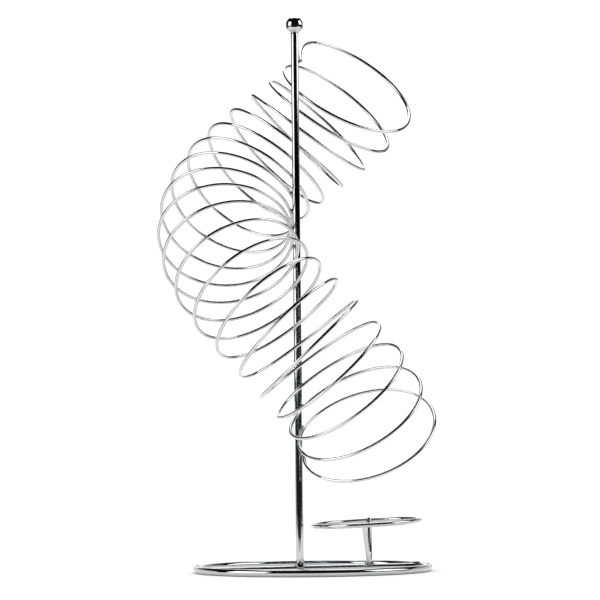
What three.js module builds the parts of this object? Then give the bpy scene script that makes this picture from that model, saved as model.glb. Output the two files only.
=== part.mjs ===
// Fruit spiral: a chromed wire coil wound once round a post, down which fruit rolls to a catch ring.
// Millimetres, +Z up. +X runs along the base's crossbar towards the catch ring, and the origin is
// the bottom centre of the finished object's box. Touching pieces keep GAP between them.

import * as THREE from "three";

const GAP = 0.3;

// Base ring and crossbar
const BASE_RADIUS = 83.2; // to the middle of the rod
const BASE_ROD = 5.3;
const BASE_OFFSET = 9.8; // the ring's centre, from the post towards the catch ring
const CROSSBAR_ROD = 4.3;

// Post and finial
const POST_ROD = 5.6;
const FINIAL_WIDTH = 12.6;
const FINIAL_CENTRE = 394.8;
const SPIGOT_ROD = 3.6;
const SPIGOT_LENGTH = 4.2;

// Coil. A list gives a value at the coil's top, middle and bottom, and it changes smoothly between.
const WIRE = 2.5;
const COIL_TURNS = 19.98;
const COIL_AZIMUTH = [13, 175.1, 328.2]; // degrees: where the turns' centres stand round the post
const COIL_HEIGHT = [354.2, 235.9, 90.5]; // the turns' centres above the table
const COIL_RADIUS = [48.9, 47.6, 49.1]; // of a turn, to the middle of the wire
const COIL_DIP = [51.5, 49.5, 55]; // degrees: how steeply a turn's axis points down
const COIL_OUT = [-2.3, 3.2, 2.9]; // degrees: how far that axis turns away from the post
const LEAD_RISE = 12.5; // the first turn is drawn up by this much,
const LEAD_TURNS = 0.39; // which dies away over this many turns
const BEND_TURNS = 0.245; // where the wire's start, a flatter bend, joins the first turn
const BEND_REACH = 25; // from the corner of that bend to there

// Catch ring and the bent wire that holds it
const CATCH_RADIUS = 38.4; // to the middle of the rod
const CATCH_ROD = 3.4;
const CATCH_CENTRE = new THREE.Vector3(51, 0, 34.4);
const CATCH_TILT = 2.9; // degrees: its far side is higher
const SUPPORT_ROD = 3.2;
const SUPPORT_FOOT_X = 53;
const SUPPORT_AZIMUTH = 67.5; // degrees: the legs' plane, from the crossbar
const SUPPORT_FLARE = 3; // how soon the legs straighten above their bend

// Fineness of the mesh
const WIRE_SIDES = 8;
const STEPS_PER_TURN = 20;
const FIRST_TURN_STEPS = 36; // its bend is sharper
const BASE_SIDES = 12;
const BASE_SEGMENTS = 48;
const CATCH_SEGMENTS = 40;
const SUPPORT_STEPS = 24;
const POST_SIDES = 20;
const ROUND_SIDES = 16;
const BALL_SIDES = 24;
const BALL_STEPS = 12;

const UP = new THREE.Vector3(0, 0, 1);
const radians = THREE.MathUtils.degToRad;

const chrome = { color: 0xd5d6d8, roughness: 0.08, metalness: 1 };
const weldMetal = { color: 0x8f9194, roughness: 0.35, metalness: 1 };

const model = new THREE.Group();

function addPiece(name, geometry, finish, parent = model) {
  const mesh = new THREE.Mesh(geometry, new THREE.MeshStandardMaterial(finish));
  mesh.name = name;
  parent.add(mesh);
  return mesh;
}

// A polygon with the area of a round section. The flat of its first side faces down.
function sectionPoints(diameter, sides) {
  const step = (2 * Math.PI) / sides;
  const radius = (diameter / 2) * Math.sqrt(step / Math.sin(step));
  const corner = (i) => -Math.PI / 2 + step * (i + 0.5);
  return Array.from(
    { length: sides },
    (_, i) => new THREE.Vector2(radius * Math.cos(corner(i)), radius * Math.sin(corner(i))),
  );
}

function sweep(path, diameter, sides, steps) {
  const section = new THREE.Shape(sectionPoints(diameter, sides));
  return new THREE.ExtrudeGeometry(section, { steps, extrudePath: path, bevelEnabled: false });
}

// A lathe profile of [radius, height] pairs, turned about +Z.
function turned(profile, segments) {
  const points = profile.map(([radius, height]) => new THREE.Vector2(radius, height));
  return new THREE.LatheGeometry(points, segments).rotateX(Math.PI / 2);
}

function ringOfRod(radius, diameter, sides, segments) {
  const profile = sectionPoints(diameter, sides).map((p) => [radius + p.x, p.y]);
  return turned([...profile, profile[0]], segments);
}

// A flattened blob of weld.
function bead(width, height) {
  return new THREE.SphereGeometry(width / 2, 8, 6).rotateX(Math.PI / 2).scale(1, 1, height / width);
}

// Height of the middle of a rod whose flat-bottomed section rests on the table.
function restingHeight(diameter, sides) {
  return -Math.min(...sectionPoints(diameter, sides).map((p) => p.y));
}

// ---- Base ring and crossbar ----

const baseHeight = restingHeight(BASE_ROD, BASE_SIDES);
const crossbarTop = baseHeight + CROSSBAR_ROD / 2;

function buildBase() {
  const base = new THREE.Group();
  base.position.set(BASE_OFFSET, 0, baseHeight);
  model.add(base);
  addPiece("base_ring", ringOfRod(BASE_RADIUS, BASE_ROD, BASE_SIDES, BASE_SEGMENTS), chrome, base);

  const halfLength = BASE_RADIUS - BASE_ROD / 2 - 2 * GAP;
  const radius = CROSSBAR_ROD / 2;
  const bar = new THREE.CylinderGeometry(radius, radius, 2 * halfLength, ROUND_SIDES);
  addPiece("base_crossbar", bar.rotateZ(Math.PI / 2), chrome, base);

  const weldWidth = 3.6;
  const weldHeight = 2.2;
  for (const [name, side] of [["left", -1], ["right", 1]]) {
    const weld = addPiece(`crossbar_weld_${name}`, bead(weldWidth, weldHeight), weldMetal, base);
    const above = radius + weldHeight / 2 + GAP;
    weld.position.set(side * (halfLength - weldWidth / 2), 0, above);
  }
}

// ---- Post and finial ----

// The ball's underside is cut flat where it is as wide as the post.
const finialBottom = FINIAL_CENTRE - Math.sqrt(FINIAL_WIDTH ** 2 - POST_ROD ** 2) / 2;

function buildPost() {
  const foot = crossbarTop + GAP;
  const shoulder = finialBottom - GAP;
  const radius = POST_ROD / 2;
  const spigot = SPIGOT_ROD / 2;
  const spigotTop = shoulder + SPIGOT_LENGTH;
  const profile = [
    [0, foot],
    [radius, foot],
    [radius, shoulder],
    [spigot, shoulder],
    [spigot, spigotTop],
    [0, spigotTop],
  ];
  addPiece("post", turned(profile, POST_SIDES), chrome);

  const inner = radius + GAP;
  const weldOuter = 4.6;
  const weldHeight = 3.6;
  const weldLip = 0.4;
  const fillet = [
    [inner, foot],
    [weldOuter, foot],
    [weldOuter, foot + weldHeight / 2],
    [inner + weldLip, foot + weldHeight],
    [inner, foot + weldHeight],
    [inner, foot],
  ];
  addPiece("post_foot_weld", turned(fillet, ROUND_SIDES), weldMetal);
}

// A ball with a blind bore below for the post's spigot.
function buildFinial() {
  const radius = FINIAL_WIDTH / 2;
  const bore = SPIGOT_ROD / 2 + GAP;
  const boreTop = finialBottom + SPIGOT_LENGTH;
  const lowest = -Math.acos(POST_ROD / FINIAL_WIDTH);
  const outline = [];
  for (let i = 0; i < BALL_STEPS; i++) {
    const angle = THREE.MathUtils.lerp(lowest, Math.PI / 2, i / BALL_STEPS);
    outline.push([radius * Math.cos(angle), FINIAL_CENTRE + radius * Math.sin(angle)]);
  }
  const boreWall = [[0, boreTop], [bore, boreTop], [bore, finialBottom]];
  const profile = [...boreWall, ...outline, [0, FINIAL_CENTRE + radius]];
  addPiece("ball_finial", turned(profile, BALL_SIDES), chrome);
}

// ---- Coil ----

// A value given at the coil's top, middle and bottom, at t from 0 to 1 down it.
function along([top, middle, bottom], t) {
  return top * (1 - t) * (1 - 2 * t) + 4 * middle * t * (1 - t) + bottom * t * (2 * t - 1);
}

// A point of the coil's even turns. They ring a line that is itself most of one turn round the post.
function turnPoint(t) {
  const azimuth = radians(along(COIL_AZIMUTH, t));
  const dip = radians(along(COIL_DIP, t));
  const out = radians(along(COIL_OUT, t));
  const radius = along(COIL_RADIUS, t);
  const rise = LEAD_RISE * Math.exp((-t * COIL_TURNS) / LEAD_TURNS);
  const round = Math.PI * (1 + 2 * COIL_TURNS * t); // each turn starts and ends at the post

  const radial = new THREE.Vector3(Math.cos(azimuth), Math.sin(azimuth), 0);
  const downhill = new THREE.Vector3(-Math.sin(azimuth), Math.cos(azimuth), 0)
    .multiplyScalar(Math.cos(dip))
    .addScaledVector(UP, -Math.sin(dip));
  const axis = downhill.clone().multiplyScalar(Math.cos(out)).addScaledVector(radial, Math.sin(out));
  const across = radial.clone().multiplyScalar(Math.cos(out)).addScaledVector(downhill, -Math.sin(out));
  const upward = axis.clone().cross(across);

  const fromPost = radius + (POST_ROD + WIRE) / 2 + GAP;
  return radial
    .multiplyScalar(fromPost)
    .addScaledVector(UP, along(COIL_HEIGHT, t) + rise)
    .addScaledVector(across, radius * Math.cos(round))
    .addScaledVector(upward, radius * Math.sin(round));
}

// The wire's start, from its weld on the post into the first turn.
const bendEnd = BEND_TURNS / COIL_TURNS;

function buildBend() {
  const end = turnPoint(bendEnd);
  const nudge = 1e-5;
  const justAfter = turnPoint(bendEnd + nudge);
  const back = end.clone().sub(justAfter).setLength(BEND_REACH);
  return new THREE.QuadraticBezierCurve3(turnPoint(0), end.clone().add(back), end);
}

const bend = buildBend();

// The middle of the wire.
function coilPoint(t) {
  return t < bendEnd ? bend.getPoint(t / bendEnd) : turnPoint(t);
}

class CoilStretch extends THREE.Curve {
  constructor(from, to) {
    super();
    this.from = from;
    this.to = to;
  }
  getPoint(u) {
    return coilPoint(THREE.MathUtils.lerp(this.from, this.to, u));
  }
}

const twoDigits = (n) => String(n).padStart(2, "0");

function buildCoil() {
  const turns = Math.round(COIL_TURNS);
  const halfGap = GAP / 2 / (2 * Math.PI * COIL_RADIUS[0] * COIL_TURNS); // as a share of the wire
  for (let turn = 0; turn < turns; turn++) {
    const from = turn / turns + (turn > 0 ? halfGap : 0);
    const to = (turn + 1) / turns - (turn < turns - 1 ? halfGap : 0);
    const steps = turn === 0 ? FIRST_TURN_STEPS : STEPS_PER_TURN;
    const wire = sweep(new CoilStretch(from, to), WIRE, WIRE_SIDES, steps);
    addPiece(`coil_turn_${twoDigits(turn + 1)}`, wire, chrome);
  }
}

// A bead under the wire at each place where it meets the post.
function buildCoilWelds() {
  const size = 2;
  const meetings = Math.round(COIL_TURNS);
  for (let n = 0; n <= meetings; n++) {
    const t = Math.min(n / COIL_TURNS, 1);
    const wire = coilPoint(t);
    const fromAxis = (POST_ROD + size) / 2 + GAP;
    const below = (WIRE + size) / 2 + 2 * GAP;
    const weld = addPiece(`coil_weld_${twoDigits(n)}`, bead(size, size), weldMetal);
    weld.position.set(wire.x, wire.y, 0).setLength(fromAxis);
    weld.position.z = wire.z - below;
  }
}

// ---- Catch ring and its support ----

function catchPlaneHeight(x) {
  return CATCH_CENTRE.z + (x - CATCH_CENTRE.x) * Math.tan(radians(CATCH_TILT));
}

// A wire bent to a rounded V. It passes over the crossbar and ends inside the catch ring.
class SupportBend extends THREE.Curve {
  getPoint(u) {
    const side = 2 * u - 1;
    const reach = CATCH_RADIUS - (CATCH_ROD + SUPPORT_ROD) / 2 - 2 * GAP;
    const azimuth = radians(SUPPORT_AZIMUTH);
    const tipX = CATCH_CENTRE.x + Math.sign(side) * reach * Math.cos(azimuth);
    const foot = crossbarTop + SUPPORT_ROD / 2 + GAP;
    const tip = catchPlaneHeight(tipX) + CATCH_ROD / 2;
    const climb = Math.sqrt(1 + SUPPORT_FLARE * side * side) - 1;
    const risen = climb / (Math.sqrt(1 + SUPPORT_FLARE) - 1);
    const x = THREE.MathUtils.lerp(SUPPORT_FOOT_X, CATCH_CENTRE.x, risen);
    return new THREE.Vector3(
      x + side * reach * Math.cos(azimuth),
      side * reach * Math.sin(azimuth),
      THREE.MathUtils.lerp(foot, tip, risen),
    );
  }
}

function buildCatchRing() {
  const tilted = new THREE.Group();
  tilted.position.copy(CATCH_CENTRE);
  tilted.rotation.y = -radians(CATCH_TILT);
  model.add(tilted);
  const ring = ringOfRod(CATCH_RADIUS, CATCH_ROD, WIRE_SIDES, CATCH_SEGMENTS);
  addPiece("catch_ring", ring, chrome, tilted);
  const legs = sweep(new SupportBend(), SUPPORT_ROD, WIRE_SIDES, SUPPORT_STEPS);
  addPiece("catch_ring_support", legs, chrome);

  const footWidth = 2.8;
  const footHeight = 1.8;
  const footWeld = addPiece("support_foot_weld", bead(footWidth, footHeight), weldMetal);
  const beside = (SUPPORT_ROD + footWidth) / 2 + 2 * GAP;
  footWeld.position.set(SUPPORT_FOOT_X + beside, 0, crossbarTop + footHeight / 2 + GAP);

  // Beads under the ring, between it and the ends of the legs.
  const size = 1.8;
  for (const [name, side] of [["front", -1], ["back", 1]]) {
    const weld = addPiece(`catch_ring_weld_${name}`, bead(size, size), weldMetal, tilted);
    const azimuth = radians(SUPPORT_AZIMUTH);
    const fromCentre = CATCH_RADIUS - size / 2;
    weld.position.set(
      side * fromCentre * Math.cos(azimuth),
      side * fromCentre * Math.sin(azimuth),
      -(CATCH_ROD + size) / 2 - GAP,
    );
  }
}

buildBase();
buildPost();
buildFinial();
buildCoil();
buildCoilWelds();
buildCatchRing();

// The origin goes to the bottom centre of the whole object's box.
const box = new THREE.Box3().setFromObject(model, true);
const centre = box.getCenter(new THREE.Vector3());
model.position.set(-centre.x, -centre.y, -box.min.z);

const part = new THREE.Group();
part.add(model);

export default part;
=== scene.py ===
"""A chromed wire fruit spiral: its visible pieces, their finishes and the studio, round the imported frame."""

import math

import bmesh
import bpy
import numpy as np
from mathutils import Matrix, Vector, noise


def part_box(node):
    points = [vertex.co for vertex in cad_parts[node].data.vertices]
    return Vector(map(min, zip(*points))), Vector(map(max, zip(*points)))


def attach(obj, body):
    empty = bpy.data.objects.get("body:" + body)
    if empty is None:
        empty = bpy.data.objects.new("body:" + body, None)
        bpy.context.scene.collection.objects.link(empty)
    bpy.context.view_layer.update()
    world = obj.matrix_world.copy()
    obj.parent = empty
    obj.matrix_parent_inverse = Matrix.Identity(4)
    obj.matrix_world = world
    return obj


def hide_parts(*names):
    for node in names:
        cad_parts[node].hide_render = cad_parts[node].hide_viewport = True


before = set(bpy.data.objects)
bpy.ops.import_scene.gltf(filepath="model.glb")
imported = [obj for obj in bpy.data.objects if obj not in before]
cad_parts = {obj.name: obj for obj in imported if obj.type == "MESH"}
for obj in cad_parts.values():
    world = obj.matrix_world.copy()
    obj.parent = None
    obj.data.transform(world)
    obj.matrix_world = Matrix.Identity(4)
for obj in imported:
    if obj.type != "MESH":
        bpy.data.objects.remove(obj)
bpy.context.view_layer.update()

MM = 0.001
UP = Vector((0, 0, 1))
LEVEL_AXES = (Vector((1, 0, 0)), Vector((0, 1, 0)), UP)

# Rods and wires
BASE_ROD = 5.3 * MM
CROSSBAR_ROD = 4.3 * MM
POST_ROD = 5.6 * MM
WIRE = 2.5 * MM
CATCH_ROD = 3.4 * MM
SUPPORT_ROD = 3.2 * MM

# Coil. A list gives a value at the coil's top, middle and bottom, and it changes smoothly between.
COIL_TURNS = 19.98
COIL_AZIMUTH = [13, 175.1, 328.2]  # degrees
COIL_HEIGHT = [354.2 * MM, 235.9 * MM, 90.5 * MM]
COIL_RADIUS = [48.9 * MM, 47.6 * MM, 49.1 * MM]
COIL_DIP = [51.5, 49.5, 55]  # degrees
COIL_OUT = [-2.3, 3.2, 2.9]  # degrees
LEAD_RISE = 12.5 * MM
LEAD_TURNS = 0.39
BEND_TURNS = 0.245  # where the wire's start, a flatter bend, joins the first turn
BEND_REACH = 25 * MM
COIL_CLEARANCE = 0.3 * MM

# Catch ring and support
CATCH_RADIUS = 38.4 * MM
CATCH_TILT = 2.9  # degrees
SUPPORT_AZIMUTH = 67.5  # degrees
SUPPORT_FLARE = 3
SUPPORT_FOOT_FROM_POST = 53 * MM

# Welds: half sizes, and where each kind starts among the lump shapes
WIRE_WELD = (1.75 * MM, 1.5 * MM, 0.85 * MM)
SUPPORT_WELD = (3.6 * MM, 3 * MM, 2 * MM)
RING_WELD = (1.9 * MM, 1.2 * MM, 1.5 * MM)
CROSSBAR_WELD_LENGTH = 3 * MM
CROSSBAR_WELD_WIDTH = 2.6 * MM
CROSSBAR_WELD_HEIGHTS = {"left": 1 * MM, "right": 1.8 * MM}
CROSSBAR_WELD_INSET = 0.75 * BASE_ROD  # from the base ring's middle line
CROSSBAR_WELD_RISE = 0.36 * CROSSBAR_ROD  # above the crossbar's middle
SUPPORT_WELD_RISE = 0.2 * MM  # above the crossbar's top
RING_WELD_DROP = 1 * MM  # below the ends of the support
CROSSBAR_WELD_SEED = 40
SUPPORT_WELD_SEED = 60
RING_WELD_SEED = 70

# Ends and sinking
FILED_END = 0.72  # a cut end's face, as a share of the rod's width
FILED_LENGTH = 0.3  # how far back the filed edge reaches, in rod radii
CROSSBAR_BITE = 0.2 * BASE_ROD  # the crossbar's ends into the base ring
POST_SINK = 0.6 * MM  # the post's foot into the crossbar
BALL_SINK = 0.4 * MM  # the post's top into the ball
SUPPORT_SINK = 0.3 * MM  # the support's bend into the crossbar
RING_BITE = 0.2 * MM  # the support's ends into the catch ring

# Fineness
BASE_SIDES = 36
BASE_STEPS = 320
CROSSBAR_SIDES = 32
CROSSBAR_STEPS = 60
POST_SEGMENTS = 64
POST_RINGS = 90
COLLAR_SEGMENTS = 56
COLLAR_RINGS = 20
BALL_SEGMENTS = 72
BALL_STEPS = 60
WIRE_SIDES = 18
WIRE_STEPS_PER_TURN = 110
CATCH_SIDES = 24
CATCH_STEPS = 220
SUPPORT_STEPS = 140

# Studio
WHITE_LEVEL = 1.18  # of the white that the eye and the floor see all round

# Camera
VIEW_AZIMUTH = -18  # degrees: where it stands round the object
VIEW_DISTANCE = 2.16
VIEW_HEIGHT = 0.0968
VIEW_AIM_HEIGHT = 0.1955
VIEW_AIM_RIGHT = 2 * MM
VIEW_ROLL = -0.586  # degrees
LENS = 180
SENSOR = 36


def middle(node):
    """The middle of a CAD node's box."""
    low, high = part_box(node)
    return (low + high) / 2


post_axis = middle("post").to_2d().to_3d()


# ---- Meshes ----


def add_mesh(name, vertices, faces, local, material, nodes):
    """A smooth mesh piece that stands for CAD nodes. local is each vertex's place on the piece if it were
    straight, which the finishes read as the attribute piece_space."""
    mesh = bpy.data.meshes.new(name)
    mesh.from_pydata([tuple(v) for v in vertices], [], faces)
    mesh.polygons.foreach_set("use_smooth", [True] * len(mesh.polygons))
    space = mesh.attributes.new("piece_space", "FLOAT_VECTOR", "POINT")
    space.data.foreach_set("vector", np.array([tuple(v) for v in local], np.float32).ravel())
    mesh.materials.append(material)
    mesh.validate()
    piece = bpy.data.objects.new(name, mesh)
    bpy.context.scene.collection.objects.link(piece)
    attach(piece, "root")
    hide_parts(*nodes)
    return piece


def swept(path, radius, sides, first_normal, closed=False):
    """Vertices, faces and local places of a round rod along a path, with filed ends unless it is closed."""
    count = len(path)
    last = count if closed else count - 1
    tangents = []
    for i in range(count):
        before = path[(i - 1) % count] if closed or i > 0 else path[0]
        after = path[(i + 1) % count] if closed or i < count - 1 else path[-1]
        tangents.append((after - before).normalized())
    length = sum((path[(i + 1) % count] - path[i]).length for i in range(last))

    vertices, local = [], []
    normal = first_normal
    travelled = 0
    for i in range(count):
        normal = (normal - tangents[i] * normal.dot(tangents[i])).normalized()
        side = tangents[i].cross(normal)
        end = not closed and i in (0, count - 1)
        reach = radius * (FILED_END if end else 1)
        run = length / 2 - abs(travelled - length / 2) if closed else travelled
        for k in range(sides):
            angle = 2 * math.pi * k / sides
            spoke = normal * math.cos(angle) + side * math.sin(angle)
            vertices.append(path[i] + spoke * reach)
            local.append(Vector((reach * math.cos(angle), reach * math.sin(angle), run)))
        if i < last:
            travelled += (path[(i + 1) % count] - path[i]).length

    faces = []
    for i in range(last):
        a, b = i * sides, (i + 1) % count * sides
        for k in range(sides):
            n = (k + 1) % sides
            faces.append((a + k, a + n, b + n, b + k))
    if not closed:
        faces.append(tuple(reversed(range(sides))))
        faces.append(tuple(range((count - 1) * sides, count * sides)))
    return vertices, faces, local


def with_filed_ends(curve, steps, radius):
    """Points of a curve, curve(u) for u from 0 to 1. One more close to each end makes its filed edge."""
    path = [curve(i / steps) for i in range(steps + 1)]
    back = radius * FILED_LENGTH
    start = path[0] + (path[1] - path[0]).normalized() * back
    end = path[-1] + (path[-2] - path[-1]).normalized() * back
    return [path[0], start, *path[1:-1], end, path[-1]]


def ring_path(centre, radius, tilt, steps):
    """Points round a level ring, tilted by an angle about the Y axis."""
    turn = Matrix.Rotation(-tilt, 3, "Y")
    points = []
    for i in range(steps):
        angle = 2 * math.pi * i / steps
        points.append(centre + turn @ Vector((math.cos(angle), math.sin(angle), 0)) * radius)
    return points


def turned(profile, segments, foot):
    """Vertices, faces and local places of a profile of (radius, height) pairs, turned about a vertical axis.
    The profile starts and ends on the axis."""
    vertices = [foot + UP * profile[0][1]]
    for radius, height in profile[1:-1]:
        for k in range(segments):
            angle = 2 * math.pi * k / segments
            vertices.append(foot + Vector((radius * math.cos(angle), radius * math.sin(angle), height)))
    vertices.append(foot + UP * profile[-1][1])
    faces = []
    rows = len(profile) - 2
    top = len(vertices) - 1
    for k in range(segments):
        n = (k + 1) % segments
        faces.append((0, 1 + n, 1 + k))
        for row in range(rows - 1):
            a, b = 1 + row * segments, 1 + (row + 1) * segments
            faces.append((a + k, a + n, b + n, b + k))
        a = 1 + (rows - 1) * segments
        faces.append((a + k, a + n, top))
    return vertices, faces, [v - foot for v in vertices]


def blob(centre, axes, sizes, seed, lumps=0.14):
    """Vertices, faces and local places of a lump of weld metal with half sizes along three axes. Each seed
    gives another shape."""
    shape = bmesh.new()
    bmesh.ops.create_icosphere(shape, subdivisions=4, radius=1)
    vertices, local = [], []
    for v in shape.verts:
        bump = noise.noise(v.co * 1.6 + Vector((seed * 7.3, 0, 0)))
        ripple = noise.noise(v.co * 4.5 + Vector((0, seed * 5.1, 0)))
        place = v.co * (1 + lumps * bump + lumps * 0.4 * ripple)
        offset = sum((axis * size * x for axis, size, x in zip(axes, sizes, place)), Vector((0, 0, 0)))
        vertices.append(centre + offset)
        local.append(offset + Vector((0, 0, seed * 0.01)))
    faces = [tuple(v.index for v in f.verts) for f in shape.faces]
    shape.free()
    return vertices, faces, local


# ---- Finishes ----


def new_material(name):
    material = bpy.data.materials.new(name)
    material.use_nodes = True
    material.node_tree.nodes.clear()
    return material, material.node_tree


def noise_on(tree, space, scale, detail, stretch=(1, 1, 1)):
    """A noise texture's value over the piece, drawn out along it where stretch is below 1."""
    mapping = tree.nodes.new("ShaderNodeMapping")
    mapping.inputs["Scale"].default_value = stretch
    tree.links.new(space, mapping.inputs["Vector"])
    texture = tree.nodes.new("ShaderNodeTexNoise")
    texture.inputs["Scale"].default_value = scale
    texture.inputs["Detail"].default_value = detail
    tree.links.new(mapping.outputs["Vector"], texture.inputs["Vector"])
    return texture.outputs["Fac"]


def in_range(tree, value, low, high, from_low=0.3, from_high=0.7):
    spread = tree.nodes.new("ShaderNodeMapRange")
    spread.inputs["From Min"].default_value = from_low
    spread.inputs["From Max"].default_value = from_high
    spread.inputs["To Min"].default_value = low
    spread.inputs["To Max"].default_value = high
    tree.links.new(value, spread.inputs["Value"])
    return spread.outputs["Result"]


def two_tones(tree, value, first, second):
    mix = tree.nodes.new("ShaderNodeMix")
    mix.data_type = "RGBA"
    mix.inputs["A"].default_value = (*first, 1)
    mix.inputs["B"].default_value = (*second, 1)
    tree.links.new(in_range(tree, value, 0, 1), mix.inputs["Factor"])
    return mix.outputs["Result"]


def bumps(tree, layers):
    """A normal from several (height value, height in metres) layers, one on another."""
    normal = None
    for value, height in layers:
        bump = tree.nodes.new("ShaderNodeBump")
        bump.inputs["Strength"].default_value = 1
        bump.inputs["Distance"].default_value = height
        tree.links.new(value, bump.inputs["Height"])
        if normal is not None:
            tree.links.new(normal, bump.inputs["Normal"])
        normal = bump.outputs["Normal"]
    return normal


def metal(name, bright, dull, polish, worn, layers_of):
    """A metal finish: two tones, a roughness from polish to worn, and bumps from layers_of(tree, space)."""
    material, tree = new_material(name)
    space = tree.nodes.new("ShaderNodeAttribute")
    space.attribute_name = "piece_space"
    place = space.outputs["Vector"]
    shader = tree.nodes.new("ShaderNodeBsdfPrincipled")
    shader.inputs["Metallic"].default_value = 1
    patches = noise_on(tree, place, 90, 3, (1, 1, 0.6))
    wear = noise_on(tree, place, 420, 4, (1, 1, 0.25))
    tree.links.new(two_tones(tree, patches, bright, dull), shader.inputs["Base Color"])
    tree.links.new(in_range(tree, wear, polish, worn), shader.inputs["Roughness"])
    tree.links.new(bumps(tree, layers_of(tree, place)), shader.inputs["Normal"])
    output = tree.nodes.new("ShaderNodeOutputMaterial")
    tree.links.new(shader.outputs["BSDF"], output.inputs["Surface"])
    return material


CHROME_BRIGHT = (0.64, 0.642, 0.65)
CHROME_DULL = (0.58, 0.579, 0.582)
WIRE_BRIGHT = (0.73, 0.732, 0.74)
WIRE_DULL = (0.67, 0.669, 0.672)


def rod_layers(tree, place):
    """Plating's slow ripple, and fine lines drawn along the rod."""
    ripple = noise_on(tree, place, 150, 2, (1, 1, 0.5))
    drawn = noise_on(tree, place, 2600, 3, (1, 1, 0.03))
    return [(ripple, 0.03 * MM), (drawn, 0.0012 * MM)]


def wire_layers(tree, place):
    ripple = noise_on(tree, place, 200, 2, (1, 1, 0.3))
    drawn = noise_on(tree, place, 4200, 3, (1, 1, 0.02))
    return [(ripple, 0.006 * MM), (drawn, 0.0002 * MM)]


def ball_layers(tree, place):
    ripple = noise_on(tree, place, 130, 2)
    dings = noise_on(tree, place, 1400, 4)
    return [(ripple, 0.02 * MM), (dings, 0.001 * MM)]


def weld_layers(tree, place):
    lumps = noise_on(tree, place, 900, 4)
    grain = noise_on(tree, place, 5200, 3)
    return [(lumps, 0.05 * MM), (grain, 0.004 * MM)]


chrome_rod = metal("plated_rod", CHROME_BRIGHT, CHROME_DULL, 0.035, 0.09, rod_layers)
chrome_wire = metal("plated_wire", WIRE_BRIGHT, WIRE_DULL, 0.03, 0.09, wire_layers)
chrome_ball = metal("plated_ball", CHROME_BRIGHT, CHROME_DULL, 0.02, 0.06, ball_layers)
weld_metal = metal("weld_metal", (0.5, 0.49, 0.48), (0.2, 0.19, 0.18), 0.07, 0.2, weld_layers)


# ---- Base ----

low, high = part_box("base_ring")
base_centre = Vector(((low.x + high.x) / 2, (low.y + high.y) / 2, BASE_ROD / 2))
base_radius = (high.x - low.x) / 2 - BASE_ROD / 2
crossbar_top = BASE_ROD / 2 + CROSSBAR_ROD / 2


def build_base_ring():
    path = ring_path(base_centre, base_radius, 0, BASE_STEPS)
    ring = swept(path, BASE_ROD / 2, BASE_SIDES, UP, closed=True)
    add_mesh("base_ring_rod", *ring, chrome_rod, ["base_ring"])


def build_crossbar():
    half = base_radius - BASE_ROD / 2 + CROSSBAR_BITE

    def bar(u):
        return base_centre + Vector((half * (2 * u - 1), 0, 0))

    path = with_filed_ends(bar, CROSSBAR_STEPS, CROSSBAR_ROD / 2)
    rod = swept(path, CROSSBAR_ROD / 2, CROSSBAR_SIDES, UP)
    add_mesh("crossbar_rod", *rod, chrome_rod, ["base_crossbar"])


def build_crossbar_welds():
    for seed, (name, side) in enumerate((("left", -1), ("right", 1))):
        out = side * (base_radius - CROSSBAR_WELD_INSET)
        end = base_centre + Vector((out, 0, CROSSBAR_WELD_RISE))
        sizes = (CROSSBAR_WELD_LENGTH, CROSSBAR_WELD_WIDTH, CROSSBAR_WELD_HEIGHTS[name])
        shape = blob(end, LEVEL_AXES, sizes, CROSSBAR_WELD_SEED + seed)
        add_mesh(f"crossbar_end_weld_{name}", *shape, weld_metal, [f"crossbar_weld_{name}"])


# ---- Post and finial ----


def build_post():
    radius = POST_ROD / 2
    foot = crossbar_top - POST_SINK
    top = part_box("ball_finial")[0].z + BALL_SINK
    chamfer = 0.35 * MM
    profile = [(0, foot), (radius, foot)]
    # Rings all the way up keep the smooth shading of the two ends short.
    for i in range(1, POST_RINGS):
        profile.append((radius, foot + (top - foot) * i / POST_RINGS))
    profile += [(radius, top - chamfer), (radius - chamfer, top), (0, top)]
    add_mesh("post_rod", *turned(profile, POST_SEGMENTS, post_axis), chrome_rod, ["post"])


def build_post_weld():
    """The weld round the post's foot: a lumpy collar that runs down over the crossbar."""
    radius = POST_ROD / 2
    inner = radius * 0.96
    widest = 3.6 * MM
    drop = 2.7 * MM
    climb = 3.4 * MM
    collar = []
    for i in range(COLLAR_RINGS):
        share = i / (COLLAR_RINGS - 1)
        fullness = math.sin(math.pi * share ** 0.6)  # greatest below its middle
        height = crossbar_top - drop + (drop + climb) * share
        collar.append((inner + (widest - inner) * fullness, height))
    profile = [(0, collar[0][1]), *collar, (0, collar[-1][1])]
    vertices, faces, local = turned(profile, COLLAR_SEGMENTS, post_axis)

    lump_scale = 380
    lump_height = 0.6 * MM
    free = radius + 0.1 * MM  # the collar is lumpy only where it stands clear of the post
    lumpy = []
    for v in vertices:
        outward = (v - post_axis).to_2d().to_3d()
        swell = noise.noise(v * lump_scale) * lump_height
        if outward.length > free:
            v = v + outward.normalized() * swell + UP * swell * 0.6
        lumpy.append(v)
    add_mesh("post_weld_collar", lumpy, faces, local, weld_metal, ["post_foot_weld"])


def build_finial():
    low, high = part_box("ball_finial")
    radius = (high.x - low.x) / 2
    centre = high.z - radius
    lowest = math.asin((low.z - centre) / radius)
    profile = [(0, low.z)]
    for i in range(BALL_STEPS):
        angle = lowest + (math.pi / 2 - lowest) * i / BALL_STEPS
        profile.append((radius * math.cos(angle), centre + radius * math.sin(angle)))
    profile.append((0, high.z))
    add_mesh("finial_ball", *turned(profile, BALL_SEGMENTS, post_axis), chrome_ball, ["ball_finial"])


# ---- Coil ----


def along(values, t):
    """A value given at the coil's top, middle and bottom, at t from 0 to 1 down it."""
    top, centre, bottom = values
    return top * (1 - t) * (1 - 2 * t) + 4 * centre * t * (1 - t) + bottom * t * (2 * t - 1)


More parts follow.
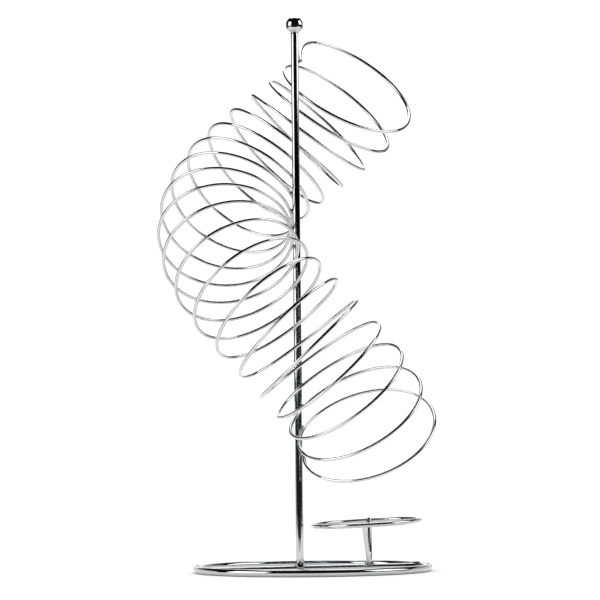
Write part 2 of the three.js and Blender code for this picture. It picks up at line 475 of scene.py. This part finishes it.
def turn_point(t):
    """A point of the coil's even turns. They ring a line that is itself most of one turn round the post."""
    azimuth = math.radians(along(COIL_AZIMUTH, t))
    dip = math.radians(along(COIL_DIP, t))
    out = math.radians(along(COIL_OUT, t))
    radius = along(COIL_RADIUS, t)
    rise = LEAD_RISE * math.exp(-t * COIL_TURNS / LEAD_TURNS)
    turn = math.pi + 2 * math.pi * COIL_TURNS * t

    radial = Vector((math.cos(azimuth), math.sin(azimuth), 0))
    level = Vector((-math.sin(azimuth), math.cos(azimuth), 0))
    downhill = level * math.cos(dip) - UP * math.sin(dip)
    axis = downhill * math.cos(out) + radial * math.sin(out)
    across = radial * math.cos(out) - downhill * math.sin(out)
    upward = axis.cross(across)
    centre = post_axis + radial * (radius + (POST_ROD + WIRE) / 2 + COIL_CLEARANCE)
    centre += UP * (along(COIL_HEIGHT, t) + rise)
    return centre + (across * math.cos(turn) + upward * math.sin(turn)) * radius


def coil_point(t):
    """The middle of the wire. Its start is a flatter bend, from the post into the first turn."""
    bend_end = BEND_TURNS / COIL_TURNS
    if t >= bend_end:
        return turn_point(t)
    end = turn_point(bend_end)
    nudge = 1e-5
    run = (turn_point(bend_end + nudge) - end).normalized()
    corner = end - run * BEND_REACH
    share = t / bend_end
    return turn_point(0).lerp(corner, share).lerp(corner.lerp(end, share), share)


def build_coil():
    path = with_filed_ends(coil_point, round(COIL_TURNS * WIRE_STEPS_PER_TURN), WIRE / 2)
    nodes = [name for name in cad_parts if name.startswith("coil_turn_")]
    add_mesh("coil_wire", *swept(path, WIRE / 2, WIRE_SIDES, UP), chrome_wire, sorted(nodes))


def build_coil_welds():
    """A nugget of weld at each place where the wire meets the post."""
    meetings = round(COIL_TURNS)
    half_gap = COIL_CLEARANCE / 2
    nudge = 0.0005
    for n in range(meetings + 1):
        t = min(n / COIL_TURNS, 1)
        wire = coil_point(t)
        run = (coil_point(min(t + nudge, 1)) - coil_point(max(t - nudge, 0))).normalized()
        outward = (wire - post_axis).to_2d().to_3d().normalized()
        across = run.cross(outward).normalized()
        centre = post_axis + outward * (POST_ROD / 2 + half_gap) + UP * wire.z
        shape = blob(centre, (run, across, outward), WIRE_WELD, n)
        add_mesh(f"wire_weld_{n:02d}", *shape, weld_metal, [f"coil_weld_{n:02d}"])


# ---- Catch ring and support ----

catch_centre = middle("catch_ring")
support_height = crossbar_top + SUPPORT_ROD / 2 - SUPPORT_SINK
support_foot = post_axis + Vector((SUPPORT_FOOT_FROM_POST, 0, support_height))


def support_point(u):
    """A wire bent to a rounded V. It passes over the crossbar and ends inside the catch ring."""
    side = 2 * u - 1
    reach = CATCH_RADIUS - (CATCH_ROD + SUPPORT_ROD) / 2 + RING_BITE
    azimuth = math.radians(SUPPORT_AZIMUTH)
    tip_x = math.copysign(reach * math.cos(azimuth), side)
    tip = catch_centre.z + tip_x * math.tan(math.radians(CATCH_TILT)) + CATCH_ROD / 2
    risen = (math.sqrt(1 + SUPPORT_FLARE * side * side) - 1) / (math.sqrt(1 + SUPPORT_FLARE) - 1)
    x = support_foot.x + (catch_centre.x - support_foot.x) * risen
    z = support_foot.z + (tip - support_foot.z) * risen
    y = side * reach * math.sin(azimuth)
    return Vector((x + side * reach * math.cos(azimuth), post_axis.y + y, z))


def build_catch_ring():
    tilt = math.radians(CATCH_TILT)
    path = ring_path(catch_centre, CATCH_RADIUS, tilt, CATCH_STEPS)
    ring = swept(path, CATCH_ROD / 2, CATCH_SIDES, UP, closed=True)
    add_mesh("catch_ring_rod", *ring, chrome_rod, ["catch_ring"])


def build_support():
    path = with_filed_ends(support_point, SUPPORT_STEPS, SUPPORT_ROD / 2)
    legs = swept(path, SUPPORT_ROD / 2, CATCH_SIDES, UP)
    add_mesh("support_wire", *legs, chrome_wire, ["catch_ring_support"])


def build_support_welds():
    """One weld where the support crosses the crossbar, and one at each end, on the catch ring."""
    foot = Vector((support_foot.x, support_foot.y, crossbar_top + SUPPORT_WELD_RISE))
    shape = blob(foot, LEVEL_AXES, SUPPORT_WELD, SUPPORT_WELD_SEED)
    add_mesh("support_weld", *shape, weld_metal, ["support_foot_weld"])

    for seed, (name, side) in enumerate((("front", -1), ("back", 1))):
        tip = support_point((side + 1) / 2)
        outward = (tip - catch_centre).to_2d().to_3d().normalized()
        run = UP.cross(outward)
        centre = tip + outward * (SUPPORT_ROD / 2) - UP * RING_WELD_DROP
        shape = blob(centre, (run, outward, UP), RING_WELD, RING_WELD_SEED + seed)
        add_mesh(f"ring_weld_{name}", *shape, weld_metal, [f"catch_ring_weld_{name}"])


# ---- Studio ----


def toward(azimuth):
    """A level direction from the post, at an angle round from the camera: positive is to its right."""
    angle = math.radians(VIEW_AZIMUTH + azimuth)
    return Vector((math.sin(angle), -math.cos(angle), 0))


def add_card(name, corners, strength, colour=(1, 1, 1)):
    """A lit card that only shows in reflections."""
    mesh = bpy.data.meshes.new(name)
    mesh.from_pydata([post_axis + corner for corner in corners], [], [(0, 1, 2, 3)])
    material, tree = new_material(name)
    light = tree.nodes.new("ShaderNodeEmission")
    light.inputs["Color"].default_value = (*colour, 1)
    light.inputs["Strength"].default_value = strength
    output = tree.nodes.new("ShaderNodeOutputMaterial")
    tree.links.new(light.outputs["Emission"], output.inputs["Surface"])
    material.cycles.emission_sampling = "NONE"
    mesh.materials.append(material)
    card = bpy.data.objects.new(name, mesh)
    card.visible_camera = False
    card.visible_diffuse = False
    card.visible_shadow = False
    bpy.context.scene.collection.objects.link(card)


def upright(azimuth, width, low, high, distance):
    """Corners of a card beside the object. azimuth and width are in degrees, as the post sees them."""
    facing = toward(azimuth)
    side = UP.cross(facing)
    half = distance * math.tan(math.radians(width / 2))
    spots = ((-half, low), (half, low), (half, high), (-half, high))
    return [facing * distance + side * x + UP * z for x, z in spots]


def overhead(height, near, far, half_width):
    """Corners of a level card over the object, from near to far behind the post as the camera sees it."""
    behind, right = toward(180), toward(90)
    across = ((-half_width, near), (half_width, near), (half_width, far), (-half_width, far))
    return [UP * height + right * x + behind * y for x, y in across]


def build_cards():
    softbox = 2.15
    add_card("softbox_left", upright(-68, 44, low=0.17, high=1.4, distance=1.5), softbox)
    add_card("softbox_right", upright(85, 45, low=0.5, high=1.8, distance=1.5), softbox)
    cool = (0.98, 1, 1.05)
    add_card("side_left", upright(-135, 50, low=0.3, high=0.6, distance=1.6), 0.22, cool)
    add_card("side_right", upright(139, 46, low=0.2, high=0.8, distance=1.6), 0.4)
    for name, azimuth in (("low_left", -130), ("low_right", 130)):
        add_card(name, upright(azimuth, 60, low=0.004, high=0.13, distance=0.6), 0.8)
    add_card("backdrop", upright(180, 38, low=0.1, high=1.7, distance=1.75), 1.1)
    daylight = (0.97, 0.99, 1.03)
    ceiling = overhead(height=1.7, near=0.33, far=1.75, half_width=0.62)
    add_card("ceiling", ceiling, 2.05, daylight)


def build_floor():
    """A white table top: close in front of the object it ends, and the dark room begins."""
    front, back, sideways = 0.52, 1.7, 1.15
    near, right = toward(0), toward(90)
    corners = [(-sideways, front), (sideways, front), (sideways, -back), (-sideways, -back)]
    mesh = bpy.data.meshes.new("floor")
    mesh.from_pydata([post_axis + right * x + near * y for x, y in corners], [], [(0, 1, 2, 3)])
    material, tree = new_material("white_table")
    shader = tree.nodes.new("ShaderNodeBsdfPrincipled")
    shader.inputs["Roughness"].default_value = 0.8
    shader.inputs["Specular IOR Level"].default_value = 0
    place = tree.nodes.new("ShaderNodeTexCoord").outputs["Object"]
    tone = two_tones(tree, noise_on(tree, place, 30, 3), (0.93, 0.93, 0.93), (0.91, 0.91, 0.912))
    tree.links.new(tone, shader.inputs["Base Color"])
    output = tree.nodes.new("ShaderNodeOutputMaterial")
    tree.links.new(shader.outputs["BSDF"], output.inputs["Surface"])
    mesh.materials.append(material)
    floor = bpy.data.objects.new("floor", mesh)
    bpy.context.scene.collection.objects.link(floor)


def build_world():
    """White all round to the eye and to the floor. The chrome sees the dark room in front of the table."""
    world = bpy.data.worlds.new("studio")
    bpy.context.scene.world = world
    world.use_nodes = True
    world.cycles.sampling_method = "NONE"
    tree = world.node_tree
    tree.nodes.clear()
    direction = tree.nodes.new("ShaderNodeTexCoord").outputs["Generated"]
    parts = tree.nodes.new("ShaderNodeSeparateXYZ")
    tree.links.new(direction, parts.inputs["Vector"])
    height = in_range(tree, parts.outputs["Z"], 0, 1, -1, 1)
    room = tree.nodes.new("ShaderNodeValToRGB")
    # The room's colour from straight down, 0, past level, 0.5, to straight up, 1.
    stops = [
        (0.0, (0.012, 0.012, 0.014)),
        (0.49, (0.013, 0.02, 0.024)),
        (0.52, (0.005, 0.006, 0.007)),
        (0.54, (0.002, 0.001, 0.001)),
        (0.57, (0.011, 0.008, 0.006)),
        (1.0, (0.008, 0.004, 0.003)),
    ]
    for position, _ in stops[2:]:
        room.color_ramp.elements.new(position)
    for element, (position, colour) in zip(room.color_ramp.elements, stops):
        element.position = position
        element.color = (*colour, 1)
    tree.links.new(height, room.inputs["Fac"])
    rays = tree.nodes.new("ShaderNodeLightPath")
    mix = tree.nodes.new("ShaderNodeMix")
    mix.data_type = "RGBA"
    mix.inputs["A"].default_value = (WHITE_LEVEL, WHITE_LEVEL, WHITE_LEVEL, 1)
    tree.links.new(rays.outputs["Is Glossy Ray"], mix.inputs["Factor"])
    tree.links.new(room.outputs["Color"], mix.inputs["B"])
    background = tree.nodes.new("ShaderNodeBackground")
    tree.links.new(mix.outputs["Result"], background.inputs["Color"])
    output = tree.nodes.new("ShaderNodeOutputWorld")
    tree.links.new(background.outputs["Background"], output.inputs["Surface"])


def build_camera():
    data = bpy.data.cameras.new("camera")
    data.lens = LENS
    data.sensor_width = SENSOR
    camera = bpy.data.objects.new("camera", data)
    camera.location = post_axis + toward(0) * VIEW_DISTANCE + UP * VIEW_HEIGHT
    aim = post_axis + toward(90) * VIEW_AIM_RIGHT + UP * VIEW_AIM_HEIGHT
    look = (aim - camera.location).to_track_quat("-Z", "Y").to_matrix()
    roll = Matrix.Rotation(math.radians(VIEW_ROLL), 3, "Z")
    camera.rotation_euler = (look @ roll).to_euler()
    bpy.context.scene.collection.objects.link(camera)
    bpy.context.scene.camera = camera


build_base_ring()
build_crossbar()
build_crossbar_welds()
build_post()
build_post_weld()
build_finial()
build_coil()
build_coil_welds()
build_catch_ring()
build_support()
build_support_welds()
build_cards()
build_floor()
build_world()
build_camera()
bpy.context.scene.view_settings.view_transform = "Standard"
